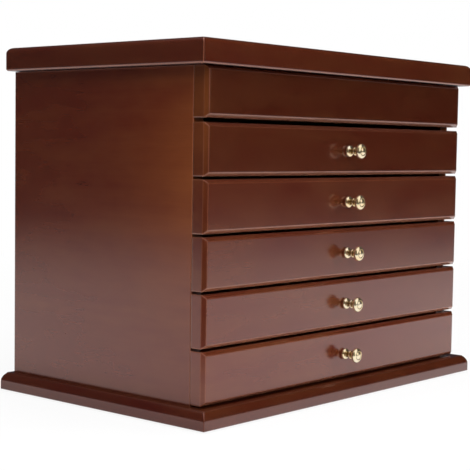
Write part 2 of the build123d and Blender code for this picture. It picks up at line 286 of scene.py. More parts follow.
# %% Work out how bright the sheet is
BRIGHT_REACH, FADED_REACH = 0.85, 2.25
DIM_CORNER = (-0.755, -0.655, 0.0)
CORNER_BRIGHT, CORNER_DARK = 0.32, 0.52
SHADE_WIDTH, LEFT_SHADE_START, BASE_OVERLAP = 0.10, 0.15, 0.02
LEFT_SHADE, FRONT_SHADE = (0.90, 0.55), (0.95, 0.85)
base_left, base_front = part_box("base_board")[0][:2]

white_sheet, tree, _ = start_material("white_sheet")
tree.nodes.clear()
path = add(tree, "ShaderNodeLightPath").outputs
place = own_place(tree)
x, y = part_of(tree, place, "X"), part_of(tree, place, "Y")
reach = vector_node(tree, "LENGTH", place)
towards_corner = vector_node(tree, "DOT_PRODUCT", place, DIM_CORNER)
lit_far = spread(tree, reach, BRIGHT_REACH, FADED_REACH, 1.0, 0.0)
lit_before_corner = spread(tree, towards_corner, CORNER_BRIGHT, CORNER_DARK, 1.0, 0.0)

# The chest shades the sheet a little at its front and more at its left
left_shade = spread(tree, x, base_left - SHADE_WIDTH, base_left, *LEFT_SHADE)
front_shade = spread(tree, y, base_front - SHADE_WIDTH, base_front, *FRONT_SHADE)
beside = math_node(tree, "MULTIPLY", spread(tree, y, base_front - LEFT_SHADE_START, base_front),
                   spread(tree, x, base_left, base_left + BASE_OVERLAP, 1.0, 0.0))
shadow = add(tree, "ShaderNodeMix", {"Factor": beside, "A": front_shade, "B": left_shade}).outputs["Result"]
lit = math_node(tree, "MULTIPLY", lit_far, lit_before_corner)
brightness = math_node(tree, "MULTIPLY", lit, shadow)
print("sheet bright to", BRIGHT_REACH, "m and dark from", FADED_REACH, "m")

# %% Mix the white sheet
WHITE, CLOTH_WHITE, DARK_GREY = (1, 1, 1, 1), (0.86, 0.86, 0.86, 1), (0.03, 0.03, 0.03, 1)
GLOW_REACH, GLOW_SHARE = (0.3, 1.2), (0.88, 1.0)

# The camera sees a white glow that keeps some of the cloth, and so the chest's shadow, near the chest
to_camera = path["Is Camera Ray"]
cloth = add(tree, "ShaderNodeBsdfDiffuse", {"Color": blend_colours(tree, to_camera, CLOTH_WHITE, WHITE)})
grey = add(tree, "ShaderNodeBsdfDiffuse", {"Color": DARK_GREY})
glow = add(tree, "ShaderNodeEmission", {"Color": WHITE, "Strength": 1.0})
glow_share = math_node(tree, "MULTIPLY", to_camera, spread(tree, reach, *GLOW_REACH, *GLOW_SHARE))
seen = blend_shaders(tree, glow_share, cloth, glow)
reflected = blend_shaders(tree, brightness, grey, glow)
ground = blend_shaders(tree, in_reflection(tree, path), seen, reflected)
add(tree, "ShaderNodeOutputMaterial", {"Surface": ground.outputs[0]})
print("sheet mixed from", len(tree.nodes), "nodes")

# %% Lay the white sheet
SHEET_REACH = 3.2
rings = np.array([0.001, 0.3, 0.8, 1.6, SHEET_REACH]) / MM
angles = np.linspace(0, 2 * np.pi, 96, endpoint=False)
circle = np.stack([np.cos(angles), np.sin(angles), 0 * angles], axis=-1)
sheet_points = rings[:, None, None] * circle[None]
faces = sheet_faces(len(rings), len(angles), closed=True)
floor = make_piece("white_floor", sheet_points, faces, white_sheet)
print("sheet of radius", SHEET_REACH, "m")

# %% Hang the canopy
SCREEN_SIDE = (0.2, -0.98, 0.0)
SCREEN_EDGE, SCREEN_INNER = 0.84, 0.96
CANOPY_FOOT, SCREEN_FOOT, SOFT_EDGE = 0.72, -0.05, 0.14

world = bpy.data.worlds.new("room")
scene.world = world
world.use_nodes = True
tree = world.node_tree
tree.nodes.clear()
path = add(tree, "ShaderNodeLightPath").outputs
mirrored = in_reflection(tree, path)
direction = add(tree, "ShaderNodeTexCoord").outputs["Generated"]
height = part_of(tree, direction, "Z")

# The canopy starts high up all round, and at the floor on the screen's side
bearing = vector_node(tree, "NORMALIZE", vector_node(tree, "MULTIPLY", direction, (1, 1, 0)))
towards_screen = vector_node(tree, "DOT_PRODUCT", bearing, SCREEN_SIDE)
canopy_start = spread(tree, towards_screen, SCREEN_EDGE, SCREEN_INNER, CANOPY_FOOT, SCREEN_FOOT)
canopy_full = math_node(tree, "ADD", canopy_start, SOFT_EDGE)
overhead = math_node(tree, "MULTIPLY", mirrored, spread(tree, height, canopy_start, canopy_full))
white_share = math_node(tree, "MAXIMUM", path["Is Camera Ray"], overhead)
print("canopy starts", CANOPY_FOOT, "of the way up and is full", SOFT_EDGE, "above that")

# %% Dim the room
BARE_WARM, BARE_COOL = (1.0, 0.75, 0.3, 1), (1.2, 1.4, 1.8, 1)
BARE_SIDE, BARE_STRENGTH, BACK_SIDE = (0.3, 0.8), (0.02, 0.10), (0.0, 0.5)
ROOM_TONE, ROOM_STRENGTH = (0.9, 0.95, 1.0, 1), 0.12

# The bare room is warm at the front and cool at the back, and lightest at the dim corner's side
towards_corner = vector_node(tree, "DOT_PRODUCT", direction, DIM_CORNER)
bare_strength = spread(tree, towards_corner, *BARE_SIDE, *BARE_STRENGTH)
back_share = spread(tree, part_of(tree, direction, "Y"), *BACK_SIDE)
bare_colour = blend_colours(tree, back_share, BARE_WARM, BARE_COOL)
bare_room = add(tree, "ShaderNodeBackground", {"Color": bare_colour, "Strength": bare_strength})
dim_room = add(tree, "ShaderNodeBackground", {"Color": ROOM_TONE, "Strength": ROOM_STRENGTH})
white = add(tree, "ShaderNodeBackground", {"Color": WHITE, "Strength": 1.0})
room = blend_shaders(tree, mirrored, dim_room, bare_room)
sky = blend_shaders(tree, white_share, room, white)
add(tree, "ShaderNodeOutputWorld", {"Surface": sky.outputs[0]})
print("room of strength", ROOM_STRENGTH, "under a white canopy")

# %% Hang the lamps
CHEST_MIDDLE = Vector((0, 0, 0.13))


def soft_lamp(name, place, size, watts):
    """A square lamp with a soft front, turned from its place towards the middle of the chest. Lacquer
    and brass don't mirror it."""
    data = bpy.data.lights.new(name, "AREA")
    data.shape = "SQUARE"
    data.size = size
    data.energy = watts
    lamp = bpy.data.objects.new(name, data)
    lamp.location = place
    lamp.rotation_mode = "QUATERNION"
    lamp.rotation_quaternion = (CHEST_MIDDLE - Vector(place)).to_track_quat("-Z", "Y")
    lamp.visible_glossy = False
    scene.collection.objects.link(lamp)


soft_lamp("lamp_key", (-0.60, -0.62, 0.85), size=0.55, watts=6.8)
soft_lamp("lamp_front_right", (0.80, -1.05, 0.42), size=0.20, watts=5.0)
soft_lamp("lamp_overhead", (-0.1, -0.2, 1.5), size=1.1, watts=14)
soft_lamp("lamp_back_right", (1.0, 1.3, 0.9), size=0.8, watts=8)

scene.view_settings.view_transform = "Standard"

# %% [markdown]
# ## Stained and lacquered mahogany
# The boards are stained dark red-brown and sprayed with semi-gloss lacquer. Under the gloss the grain
# shows as faint streaks a few millimetres wide along each board, fine dark pores, and slow clouds where
# the stain took unevenly. The streaks are noise on coordinates squeezed along the grain. The lacquer is
# the shader's coat, a little wavy like orange peel. A Bevel node rounds the light at every arris,
# because real lacquered edges are never knife sharp, and where it bends the surface the stain is made
# paler, partly as wear and partly as a painted highlight, most of all along the lower edges of the fronts.

# %% Draw the grain
# One over the size, in metres, of a streak, a pore and a cloud, and how far each is squeezed along the grain
FIGURE_SCALE, PORE_SCALE, CLOUD_SCALE = 110, 1300, 34
FIGURE_SQUEEZE, PORE_SQUEEZE, CLOUD_SQUEEZE = 0.06, 0.04, 0.45
FIGURE_RANGE, PORE_RANGE, CLOUD_RANGE = (0.3, 0.7), (0.52, 0.68), (0.3, 0.7)
DRIFT_SCALE, DRIFT_SQUEEZE, DRIFT = 400.0, 0.01, 0.08
END_FACING = 0.6


def along_grain(tree, place, turn_at_ends, grain_axis):
    """Coordinates whose first axis runs along the grain. Where the surface faces the grain's end, a
    moulded board has its grain turned round the corner instead."""
    x, y, z = (part_of(tree, place, axis) for axis in "XYZ")
    along_x = add(tree, "ShaderNodeCombineXYZ", {0: x, 1: y, 2: z}).outputs[0]
    along_y = add(tree, "ShaderNodeCombineXYZ", {0: y, 1: x, 2: z}).outputs[0]
    if not turn_at_ends:
        return along_x if grain_axis == "X" else along_y
    facing = add(tree, "ShaderNodeNewGeometry").outputs["True Normal"]
    sideways = math_node(tree, "ABSOLUTE", part_of(tree, facing, "X"))
    at_end = math_node(tree, "GREATER_THAN", sideways, END_FACING)
    inputs = {"Factor": at_end, "A": along_x, "B": along_y}
    return add(tree, "ShaderNodeMix", inputs, data_type="VECTOR").outputs["Result"]


def wood_streaks(tree, grain, shift):
    """Broad figure, fine pores and slow clouds, each from 0 to 1. The pores drift along the grain by an
    amount that changes almost only across it, so that they don't line up."""
    across = stretched(tree, grain, (DRIFT_SQUEEZE, 1, 1))
    inputs = {"Vector": across, "Scale": DRIFT_SCALE, "Detail": 1.0}
    drift = add(tree, "ShaderNodeTexNoise", inputs).outputs["Color"]
    drifted = vector_node(tree, "MULTIPLY_ADD", drift, (DRIFT, 0, 0), grain)
    streaks = stretched(tree, grain, (FIGURE_SQUEEZE, 1, 1), shift)
    hairs = stretched(tree, drifted, (PORE_SQUEEZE, 1, 1), shift)
    patches = stretched(tree, grain, (CLOUD_SQUEEZE, 1, 1), shift)
    figure = spread(tree, noise(tree, streaks, FIGURE_SCALE, detail=3, distortion=0.3), *FIGURE_RANGE)
    pores = spread(tree, noise(tree, hairs, PORE_SCALE, roughness=0.6), *PORE_RANGE)
    clouds = spread(tree, noise(tree, patches, CLOUD_SCALE, detail=3, roughness=0.55), *CLOUD_RANGE)
    return figure, pores, clouds


print("streaks of about", round(1000 / FIGURE_SCALE), "mm, clouds of about", round(1000 / CLOUD_SCALE), "mm")

# %% Stain the boards
RED_STAIN = (0.076, 0.0085, 0.0045, 1)
BROWN_STAIN = (0.110, 0.0275, 0.0095, 1)
# The golden colour is painted light, laid into the stain where a patch of light is painted
GOLDEN_PAINTED_LIGHT = (0.220, 0.0590, 0.0150, 1)
# The pale stain of worn edges, also used as a painted highlight
WORN_AND_HIGHLIT_STAIN = (0.400, 0.1650, 0.0920, 1)
FIGURE_SHARE, CLOUD_SHARE, PORE_SHARE = 0.35, 0.65, 0.07
PORE_TONE = 0.6
PATCH_STRENGTH = (0.55, 0.95)


def toned(stain, tone):
    """A stain made lighter or darker."""
    return tuple(part * tone for part in stain[:3]) + (1,)


def light_pool(tree, place, centre, size):
    """A soft oval pool of painted light: 1 at its centre, falling as a bell curve over its size."""
    scaled = vector_node(tree, "DIVIDE", vector_node(tree, "SUBTRACT", place, centre), size)
    square = vector_node(tree, "DOT_PRODUCT", scaled, scaled)
    return math_node(tree, "EXPONENT", math_node(tree, "MULTIPLY", square, -1.0))


def stain_board(tree, place, streaks, tone, painted_light):
    """Red stain blended with brown by the figure and clouds, golden over the patch of painted light, and
    dark in the pores."""
    figure, pores, clouds = streaks
    figure_part = math_node(tree, "MULTIPLY", figure, FIGURE_SHARE)
    cloud_part = math_node(tree, "MULTIPLY", clouds, CLOUD_SHARE)
    streaked = math_node(tree, "ADD", figure_part, cloud_part)
    stain = blend_colours(tree, streaked, toned(RED_STAIN, tone), toned(BROWN_STAIN, tone))
    # A warm pool of painted light laid into the stain
    if painted_light:
        strength = spread(tree, streaked, 0, 1, *PATCH_STRENGTH)
        patch = math_node(tree, "MULTIPLY", light_pool(tree, place, *painted_light), strength)
        stain = blend_colours(tree, patch, stain, toned(GOLDEN_PAINTED_LIGHT, tone))
    dark_share = math_node(tree, "MULTIPLY", pores, PORE_SHARE)
    return blend_colours(tree, dark_share, stain, toned(RED_STAIN, PORE_TONE * tone))


print("stains mixed: red", RED_STAIN[:3], "and brown", BROWN_STAIN[:3])

# %% Rub the edges and paint their highlights
ARRIS_RADIUS, ARRIS_SAMPLES = 1.3 * MM, 8
UPPER_SHARE, SLOPE_SHARE = 0.4, 0.6
# Agreement of the rounded and the flat direction, and how far down the rounded one looks (its Z part)
ARRIS_RANGE = (0.985, 0.94)
DOWN_RANGE, SLOPE_RANGE, UNDERSIDE_RANGE = (-0.05, -0.30), (-0.35, -0.55), (-0.93, -0.85)


def worn_and_highlit_edges(tree, arris, wear_and_highlight):
    """How pale the stain is made by wear and a painted highlight, from 0 to the given share: where the
    rounded direction leaves the flat one, at its full strength only if it looks down, and over sloping
    lower edges but not on undersides."""
    flat = add(tree, "ShaderNodeNewGeometry").outputs["True Normal"]
    turned_away = vector_node(tree, "DOT_PRODUCT", arris, flat)
    downwards = part_of(tree, arris, "Z")
    strength = spread(tree, downwards, *DOWN_RANGE, UPPER_SHARE * wear_and_highlight, wear_and_highlight)
    edges = math_node(tree, "MULTIPLY", spread(tree, turned_away, *ARRIS_RANGE), strength)
    sloping = spread(tree, downwards, *SLOPE_RANGE, 0.0, SLOPE_SHARE * wear_and_highlight)
    slopes = math_node(tree, "MULTIPLY", sloping, spread(tree, downwards, *UNDERSIDE_RANGE))
    return math_node(tree, "MAXIMUM", edges, slopes)


print("edges rubbed over", ARRIS_RADIUS / MM, "mm")

# %% Spray the lacquer
# The coat's roughness is one plain number, because a pattern on it is lost when the model is exported
LACQUER = dict(IOR=1.7, Specular_Tint=(1.0, 0.32, 0.25, 1), Coat_Weight=1.0, Coat_IOR=1.5,
               Coat_Roughness=0.145)
# How pale the edges are made, by wear and by a painted highlight
ROUGHNESS, WEAR_AND_HIGHLIGHT = (0.20, 0.26), 0.9
PEEL_SCALE, PEEL_STRENGTH, GRAIN_STRENGTH, GRAIN_DEPTH = 420, 0.12, 0.04, 0.06 * MM


def mahogany(name, grain_axis="X", turn_at_ends=False, shift=(0, 0, 0), tone=1.0, painted_light=None,
             wear_and_highlight=WEAR_AND_HIGHLIGHT):
    """The lacquered mahogany of one kind of board."""
    material, tree, shader = start_material(name, **LACQUER)
    place = own_place(tree)
    streaks = wood_streaks(tree, along_grain(tree, place, turn_at_ends, grain_axis), shift)
    stained = stain_board(tree, place, streaks, tone, painted_light)
    arris = add(tree, "ShaderNodeBevel", {"Radius": ARRIS_RADIUS}, samples=ARRIS_SAMPLES).outputs["Normal"]
    # Wear and a painted highlight: the stain is paled along the arrises, most on the lower edges
    worn = blend_colours(tree, worn_and_highlit_edges(tree, arris, wear_and_highlight), stained, toned(WORN_AND_HIGHLIT_STAIN, tone))
    _, pores, clouds = streaks
    wavy = bumpy(tree, noise(tree, place, PEEL_SCALE, detail=1), PEEL_STRENGTH, GRAIN_DEPTH, onto=arris)
    grainy = bumpy(tree, pores, GRAIN_STRENGTH, GRAIN_DEPTH, invert=True, onto=wavy)
    tree.links.new(worn, shader.inputs["Base Color"])
    tree.links.new(spread(tree, clouds, 0, 1, *ROUGHNESS), shader.inputs["Roughness"])
    tree.links.new(wavy, shader.inputs["Coat Normal"])
    tree.links.new(grainy, shader.inputs["Normal"])
    return material


print("lacquer of roughness", LACQUER["Coat_Roughness"])

# %% Finish the boards
# The fronts are painted darker towards the lid, as painted shade. A patch of painted light is given by
# its centre and size: one lights the left ends of the upper fronts, and one lies on the side panels near
# their front edge.
drawer_numbers = range(1, 6)
fronts = ["top_front"] + [f"drawer_{number}_front" for number in drawer_numbers]
# Painted shade: each front's tone, darkest at the top front and lightest at the bottom drawer
PAINTED_SHADE_TONES = (0.63, 0.75, 0.93, 1.00, 1.09, 1.22)
END_PAINTED_LIGHT = ((-0.160, -0.1, 0.225), (0.003, 1.0, 0.050))
SIDE_PAINTED_LIGHT = ((0, -0.095, 0.168), (1.0, 0.055, 0.080))
# The base's edges get less of the wear and painted highlight
BASE_WEAR_AND_HIGHLIGHT = 0.25

for number, (board, tone) in enumerate(zip(fronts, PAINTED_SHADE_TONES)):
    own_shift = (0.37 * number, 0.21 * number, 0)
    wear_finish(mahogany(f"mahogany_{board}", shift=own_shift, tone=tone, painted_light=END_PAINTED_LIGHT), board)
side_finish = mahogany("mahogany_sides", "Y", shift=(0.3, 0.1, 0), tone=1.08, painted_light=SIDE_PAINTED_LIGHT)
wear_finish(side_finish, "left_side_panel", "right_side_panel")
wear_finish(mahogany("mahogany_back", shift=(0.7, 0.2, 0.1), tone=0.9), "back_panel")
wear_finish(mahogany("mahogany_lid", turn_at_ends=True, shift=(1.1, 0.4, 0), tone=0.8), "lid_panel")
base_finish = mahogany("mahogany_base", turn_at_ends=True, shift=(1.9, 0.6, 0), tone=0.8, wear_and_highlight=BASE_WEAR_AND_HIGHLIGHT)
wear_finish(base_finish, "base_board")
wear_finish(mahogany("mahogany_mirror_frame", shift=(2.3, 0.9, 0), tone=0.85), "mirror_frame")
print("mahogany finishes:", sum(m.name.startswith("mahogany") for m in bpy.data.materials))

# %% [markdown]
# ## Pale inner wood
# Drawer boxes, runners and the tray floor are a plain pale wood, rubbed with wax and left unstained. It
# is the same kind of streaked noise, with lighter colours and no coat.

# %% Mix the inner wood
PALE_WOOD, LIGHT_WOOD = (0.34, 0.21, 0.115, 1), (0.50, 0.345, 0.205, 1)
CLOUDED_WOOD, WOOD_PORES = (0.42, 0.26, 0.15, 1), (0.22, 0.125, 0.065, 1)
WOOD_CLOUD_SHARE, WOOD_PORE_SHARE = 0.35, 0.5
SAWN_STRENGTH, SAWN_DEPTH = 0.3, 0.1 * MM


def inner_wood(name, grain_axis):
    """Plain satin wood of the drawer boxes."""
    material, tree, shader = start_material(name, Roughness=0.55, IOR=1.45)
    grain = along_grain(tree, own_place(tree), False, grain_axis)
    figure, pores, clouds = wood_streaks(tree, grain, (0.2, 0.5, 0.8))
    pale = blend_colours(tree, figure, PALE_WOOD, LIGHT_WOOD)
    cloud_share = math_node(tree, "MULTIPLY", clouds, WOOD_CLOUD_SHARE)
    clouded = blend_colours(tree, cloud_share, pale, CLOUDED_WOOD)
    pore_share = math_node(tree, "MULTIPLY", pores, WOOD_PORE_SHARE)
    tree.links.new(blend_colours(tree, pore_share, clouded, WOOD_PORES), shader.inputs["Base Color"])
    sawn = bumpy(tree, pores, SAWN_STRENGTH, SAWN_DEPTH, invert=True)
    tree.links.new(sawn, shader.inputs["Normal"])
    return material


lengthwise = ["drawer_runners"]
lengthwise += [f"drawer_{number}_{side}_side" for number in drawer_numbers for side in ("left", "right")]
crosswise = ["tray_floor"]
crosswise += [f"drawer_{number}_{part}" for number in drawer_numbers for part in ("back", "bottom")]
wear_finish(inner_wood("inner_wood_lengthwise", "Y"), *lengthwise)
wear_finish(inner_wood("inner_wood_crosswise", "X"), *crosswise)
print("inner wood on", len(lengthwise) + len(crosswise), "solids")

# %% [markdown]
# ## Polished brass
# Knobs, hinges and screws are polished brass under a trace of tarnish, which makes it yellower and less
# sharp in soft patches. The knobs' turned grooves are painted dark, as painted shade with some tarnish
# where polish never reaches, so the knobs carry a number on each point that says how dark and dull the
# brass is there.

# %% Polish the brass
PALE_BRASS, DEEP_BRASS, GROOVE_SHADE_BRASS = (1.0, 0.89, 0.68, 1), (1.0, 0.73, 0.36, 1), (0.27, 0.15, 0.015, 1)
TARNISH_SCALE, TARNISH_RANGE, BRASS_ROUGHNESS = 90, (0.35, 0.75), (0.10, 0.34)
SCRATCH_SCALE, SCRATCH_STRENGTH, SCRATCH_DEPTH = 2500, 0.15, 0.02 * MM

brass, tree, shader = start_material("polished_brass", Metallic=0.93)
place = own_place(tree)
tarnish = spread(tree, noise(tree, place, TARNISH_SCALE, detail=4, roughness=0.6), *TARNISH_RANGE)
# groove: painted shade with some tarnish in the knobs' grooves, which also makes the brass rougher
groove = add(tree, "ShaderNodeAttribute", attribute_name="groove").outputs["Fac"]
polished = blend_colours(tree, tarnish, PALE_BRASS, DEEP_BRASS)
dullness = math_node(tree, "ADD", tarnish, groove)
scratches = bumpy(tree, noise(tree, place, SCRATCH_SCALE), SCRATCH_STRENGTH, SCRATCH_DEPTH)
tree.links.new(blend_colours(tree, groove, polished, GROOVE_SHADE_BRASS), shader.inputs["Base Color"])
tree.links.new(spread(tree, dullness, 0, 2, *BRASS_ROUGHNESS), shader.inputs["Roughness"])
tree.links.new(scratches, shader.inputs["Normal"])
hinge_parts = ["hinge_case_leaves", "hinge_lid_leaves", "hinge_pins"]
wear_finish(brass, *hinge_parts)
print("brass on", len(hinge_parts), "solids of the hinges")

# %% [markdown]
# ## Turned brass knobs
# Each knob was turned on a lathe from one brass rod: a bead against the drawer front, a waist, a thin
# ring, a narrow neck and a head like a ball, with a groove and a button on its face. On a lathe only the
# outline matters, so here a smooth line through a few points is carried round the knob's axis.

# %% Draw the knob's outline
# Distance from the drawer front and radius, in millimetres
KNOB_OUTLINE = np.array([
    (0.0, 3.0), (0.3, 3.3), (0.7, 3.85), (1.2, 4.2), (1.8, 4.3), (2.4, 4.1), (2.9, 3.5), (3.2, 2.8),
    (3.5, 2.2), (4.2, 1.9), (5.2, 1.85), (5.8, 2.0), (6.2, 2.3), (6.5, 2.8), (6.75, 3.1), (7.0, 3.15),
    (7.25, 3.05), (7.5, 2.6), (7.7, 2.1), (8.1, 1.75), (9.2, 1.75), (9.55, 2.05), (9.8, 2.7),
    (10.05, 3.6), (10.35, 4.4), (10.8, 5.05), (11.4, 5.45), (12.1, 5.55), (12.8, 5.45), (13.4, 5.1),
    (13.9, 4.4), (14.15, 3.75), (14.2, 3.35), (14.05, 3.05), (14.15, 2.8), (14.5, 2.4), (14.75, 1.8),
    (14.93, 1.1), (14.98, 0.4), (14.98, 0.02)])
SLENDER, HEAD_MIDDLE = 3.0, 13.0
FACE_START, FACE_GROOVE, GROOVE_BLEND, GROOVE_CORE = 13.9, 3.1, 0.2, 1.6
DARKEST_GROOVE = 0.9
LINE_STEPS = 4


def smooth_line(points, steps):
    """A curve through the points: between each two, the cubic whose slope at a point is half the
    step from the point before to the one after."""
    padded = np.vstack([2 * points[0] - points[1], points, 2 * points[-1] - points[-2]])
    before, start, end, after = padded[:-3, None], padded[1:-2, None], padded[2:-1, None], padded[3:, None]
    t = np.linspace(0, 1, steps, endpoint=False)[None, :, None]
    curve = start + 0.5 * t * (end - before + t * (2 * before - 5 * start + 4 * end - after
                               + t * (3 * (start - end) + after - before)))
    return np.vstack([curve.reshape(-1, points.shape[1]), points[-1]])


knob_line = smooth_line(KNOB_OUTLINE, LINE_STEPS)
distance, radius = knob_line.T
# Painted shade with some tarnish: the neck and the groove on the face are made dark
in_neck = np.clip(SLENDER - radius, 0, 1) * (distance < HEAD_MIDDLE)
off_groove = abs(radius - FACE_GROOVE) / GROOVE_BLEND
in_face_groove = np.clip(GROOVE_CORE - off_groove, 0, 1) * (distance > FACE_START)
knob_groove_shade = DARKEST_GROOVE * np.maximum(in_neck, in_face_groove)
print("knob outline of", len(knob_line), "points,", round(2 * float(radius.max()), 1), "mm across")

# %% Turn the knobs
KNOB_SIDES = 72


def turned(outline, sides):
    """The outline carried round the axis: radius times (cosine, sine) across it, and distance forward
    along it."""
    angle = np.linspace(0, 2 * np.pi, sides, endpoint=False)
    distance, radius = outline[:, 0][:, None], outline[:, 1][:, None]
    return np.stack([radius * np.cos(angle), -distance + 0 * angle, radius * np.sin(angle)], axis=-1)


for number in drawer_numbers:
    low, high = place_of(f"drawer_{number}_knob")
    seat = np.array([(low[0] + high[0]) / 2, high[1], (low[2] + high[2]) / 2])
    points = turned(knob_line, KNOB_SIDES) + seat
    faces = sheet_faces(len(knob_line), KNOB_SIDES, closed=True)
    knob = make_piece(f"turned_knob_{number}", points, faces, brass, f"drawer_{number}",
                      [f"drawer_{number}_knob"])
    dull = knob.data.attributes.new("groove", "FLOAT", "POINT")
    dull.data.foreach_set("value", np.repeat(knob_groove_shade, KNOB_SIDES))
    close_ends(knob)
    turn_outwards(knob)
print("turned", len(drawer_numbers), "knobs that reach", round(float(-points[..., 1].min()), 2), "mm forward")

# %% [markdown]
# ## Velvet
# The linings are short-pile velvet. Pile catches light at grazing angles, which the shader's sheen
# does, and lies in slightly different directions, which shows as soft lighter and darker patches. The
# felt under the base is the same kind of cloth with a coarser, darker pile.

# %% Mix the fabrics
PILE = dict(Roughness=0.85, Sheen_Weight=0.6, Sheen_Roughness=0.35, Sheen_Tint=(1.0, 0.95, 0.86, 1),
            Specular_IOR_Level=0.2)
NAP_SCALE, NAP_RANGE, VELVET_PILE, FELT_PILE = 38, (0.32, 0.68), 2200, 900
NAP_SHARE, PILE_SHARE = 0.6, 0.5
TUFT_STRENGTH, TUFT_HEIGHT = 0.5, 0.3 * MM


def velvet(name, deep, light, pile_scale):
    """Short pile: a fine bumpy noise, with slow patches where the nap lies another way."""
    material, tree, shader = start_material(name, **PILE)
    place = own_place(tree)
    swirl = noise(tree, place, NAP_SCALE, detail=3, roughness=0.6, distortion=0.6)
    nap = math_node(tree, "MULTIPLY", spread(tree, swirl, *NAP_RANGE), NAP_SHARE)
    pile = noise(tree, place, pile_scale, roughness=0.7)
    tone = math_node(tree, "ADD", nap, math_node(tree, "MULTIPLY", pile, PILE_SHARE), clamp=True)
    tree.links.new(blend_colours(tree, tone, deep, light), shader.inputs["Base Color"])
    tree.links.new(bumpy(tree, pile, TUFT_STRENGTH, TUFT_HEIGHT), shader.inputs["Normal"])
    return material


lining_velvet = velvet("lining_velvet", (0.44, 0.34, 0.235, 1), (0.66, 0.56, 0.42, 1), VELVET_PILE)
roll_velvet = velvet("roll_velvet", (0.46, 0.36, 0.25, 1), (0.70, 0.60, 0.46, 1), VELVET_PILE)
base_felt_cloth = velvet("base_felt_cloth", (0.012, 0.011, 0.010, 1), (0.035, 0.032, 0.030, 1), FELT_PILE)
print("fabrics:", [m.name for m in bpy.data.materials if "velvet" in m.name or "felt" in m.name])

# %% [markdown]
# ## Lining strips
# A strip of card covered with velvet stands against each wall of a drawer or tray. The four strips
# together are one sheet: an outline over the strip, with its rolled top edge, carried round a rectangle
# whose inside corners the cloth softens.

# %% Shape the strips
CORNER_STEPS, EDGE_STEPS = 5, 9
OUTLINE_POINTS = 4 * CORNER_STEPS
TIGHTEST_CORNER, ROUNDER_INWARDS, FOOT_BAND = 0.3, 0.9, 1.0


def round_rectangle(half_width, half_depth, radius):
    """Points of a rectangle with rounded corners: each corner is a quarter circle about a centre one
    radius in from both edges."""
    quarter = np.linspace(0, np.pi / 2, CORNER_STEPS)
    turns = np.concatenate([quarter + corner * np.pi / 2 for corner in range(4)])
    signs = np.repeat([(1, 1), (-1, 1), (-1, -1), (1, -1)], CORNER_STEPS, axis=0)
    centres = signs * (np.array([half_width, half_depth]) - radius)
    return centres + radius * np.stack([np.cos(turns), np.sin(turns)], axis=-1)


def outline_rows(low, high, insets, heights, radii):
    """A sheet of rounded rectangles: each row is the box from low to high moved in by an inset, at a
    height, with corners of a radius."""
    half, middle = (high - low) / 2, (high + low) / 2
    rows = [np.column_stack([round_rectangle(half[0] - inset, half[1] - inset, radius),
                             np.full(OUTLINE_POINTS, height)])
            for inset, height, radius in zip(insets, heights, radii)]
    return np.array(rows) + [middle[0], middle[1], 0]


def lining_strips(low, high, thickness):
    """The strip's section, as distance in from the wall and height, carried round the room from low to
    high: up its back, over a half round top edge and down its face. Its corners grow rounder with the
    distance in."""
    over = np.linspace(np.pi, 0, EDGE_STEPS)
    inward = np.concatenate([[0, 0], thickness / 2 * (1 + np.cos(over)), [thickness] * 3, [0]])
    floor, top = low[2], high[2] - thickness / 2
    halfway = (floor + top) / 2
    level = np.concatenate([[floor, halfway], top + thickness / 2 * np.sin(over),
                            [halfway, floor + FOOT_BAND, floor], [floor]])
    return outline_rows(low, high, inward, level, TIGHTEST_CORNER + ROUNDER_INWARDS * inward)


print("outline of", OUTLINE_POINTS, "points")

# %% [markdown]
# ## Padded floor boards
# On the floor of each room lies a stiff board with wadding under its velvet. A pad this thin is no
# pillow: its top is flat but for the last few centimetres, where it falls to the edge that the cloth
# is pulled round. Two formulas, one for the fall and one for the edge, give that on an even grid.

# %% Shape a padded board
PAD_CROWN, PAD_EDGE, PAD_RIM = 0.5, 2.2, 0.4
PAD_COLUMNS, PAD_ROWS = 61, 45


def padded_board(low, high):
    """The top falls from its crown towards the walls as (1 - |u|^6)(1 - |v|^6), where u and v run from
    -1 to 1 across it. Within the edge's width it also rounds over, by a quarter ellipse down to the
    rim. The underside is flat."""
    half, middle = (high - low) / 2, (high + low) / 2
    u = np.sin(np.linspace(-np.pi / 2, np.pi / 2, PAD_COLUMNS))
    v = np.sin(np.linspace(-np.pi / 2, np.pi / 2, PAD_ROWS))
    u, v = np.meshgrid(u, v, indexing="ij")
    from_edge = np.minimum((1 - abs(u)) * half[0], (1 - abs(v)) * half[1])
    rounding = np.sqrt(np.clip(1 - (1 - np.clip(from_edge / PAD_EDGE, 0, 1)) ** 2, 0, 1))
    soft = (1 - abs(u) ** 6) * (1 - abs(v) ** 6)
    top = low[2] + PAD_RIM + (high[2] - low[2] - PAD_RIM - PAD_CROWN * (1 - soft)) * rounding
    upper = np.stack([middle[0] + u * half[0], middle[1] + v * half[1], top], axis=-1)
    lower = upper.copy()
    lower[..., 2] = low[2]
    return np.concatenate([upper, lower[::-1], upper[:1]], axis=0)


print("padded board of", PAD_COLUMNS, "by", PAD_ROWS, "points")

# %% Line the tray and the drawers
PAD_DEPTH, PLAY = 2.5, 0.1
TRAY_STRIP, DRAWER_STRIP = 2.0, 1.5


def line_room(name, node, body, thickness):
    """Strips round the walls and a padded board on the floor, in place of one lining of the CAD model."""
    low, high = place_of(node)
    strips = lining_strips(low, high, thickness)
    walls = make_piece(f"{name}_lining_strips", strips, sheet_faces(*strips.shape[:2], closed=True),
                       lining_velvet, body, [node])
    turn_outwards(walls)
    inset = np.array([thickness + PLAY, thickness + PLAY, 0])
    board = padded_board(low + inset, np.array([high[0], high[1], low[2] + PAD_DEPTH]) - inset)
    pad = make_piece(f"{name}_floor_pad", board, sheet_faces(*board.shape[:2]), lining_velvet, body,
                     [node])
    close_ends(pad)
    turn_outwards(pad)


